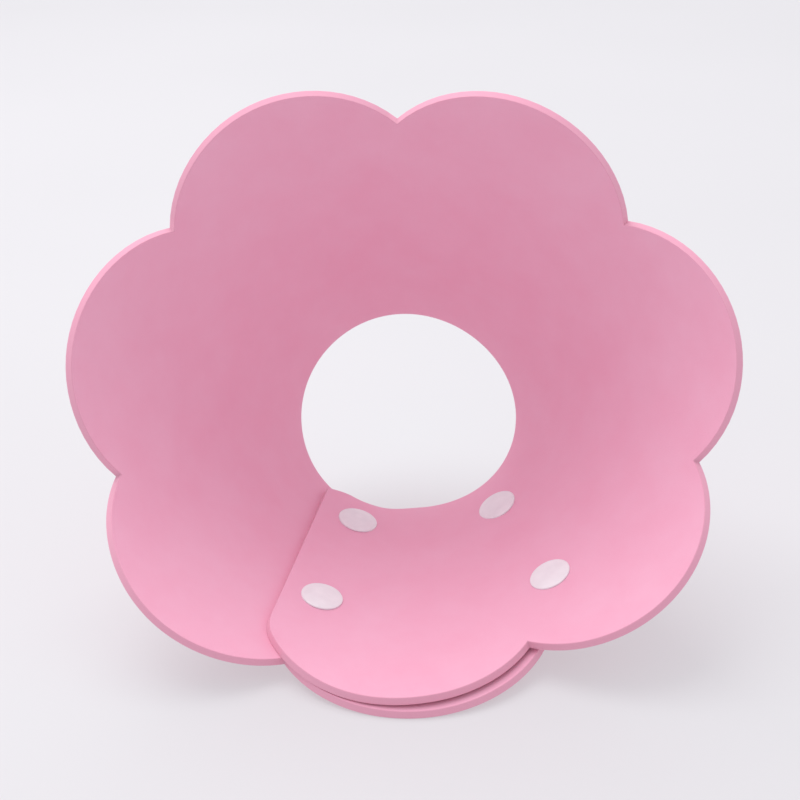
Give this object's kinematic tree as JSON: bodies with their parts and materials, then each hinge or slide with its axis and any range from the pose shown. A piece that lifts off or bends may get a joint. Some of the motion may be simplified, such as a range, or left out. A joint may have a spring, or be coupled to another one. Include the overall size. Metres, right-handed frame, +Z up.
{
  "type": "elizabethan collar",
  "caption": "Soft foam recovery collar for a small pet: a scalloped sheet rolled into a cone and closed with plastic snaps, lying on its side.",
  "frame": {"origin": "middle of the underside of the object's box, on the surface that the collar lies on", "axes": "+X to the right as seen from the wide mouth and +Z up. The mouth opens towards -Y and up: the cone's axis is tilted 30.7 degrees above -Y, so the line of the cone that the collar lies on is level"},
  "size_m": [0.2102, 0.156, 0.1651],
  "materials": {
    "foam": "matte closed-cell EVA foam with a fine skin",
    "snap_plastic": "satin moulded resin"
  },
  "bodies": {
    "lower_wing": {"foam_lower_wing": "foam", "stud_1": "snap_plastic", "outer_cap_1": "snap_plastic", "stud_2": "snap_plastic", "outer_cap_2": "snap_plastic", "stud_3": "snap_plastic", "outer_cap_3": "snap_plastic", "stud_4": "snap_plastic", "outer_cap_4": "snap_plastic"},
    "ring": {"foam_ring": "foam", "inner_cap_3": "snap_plastic", "socket_3": "snap_plastic", "inner_cap_4": "snap_plastic", "socket_4": "snap_plastic"},
    "flap": {"foam_flap": "foam", "inner_cap_1": "snap_plastic", "socket_1": "snap_plastic", "inner_cap_2": "snap_plastic", "socket_2": "snap_plastic"}
  },
  "joints": [
    {"name": "ring_open", "type": "hinge", "parent": "lower_wing", "child": "ring", "pos_m": [-0.04033, 0.05426, 0.02365], "axis": [-0.5376, -0.7887, 0.2983], "range_deg": [0, 30]},
    {"name": "flap_peel", "type": "hinge", "parent": "ring", "child": "flap", "pos_m": [0.0056, 0.03816, 0.00681], "axis": [-0.0775, 0.997, -0.0039], "range_deg": [0, 60]}
  ]
}
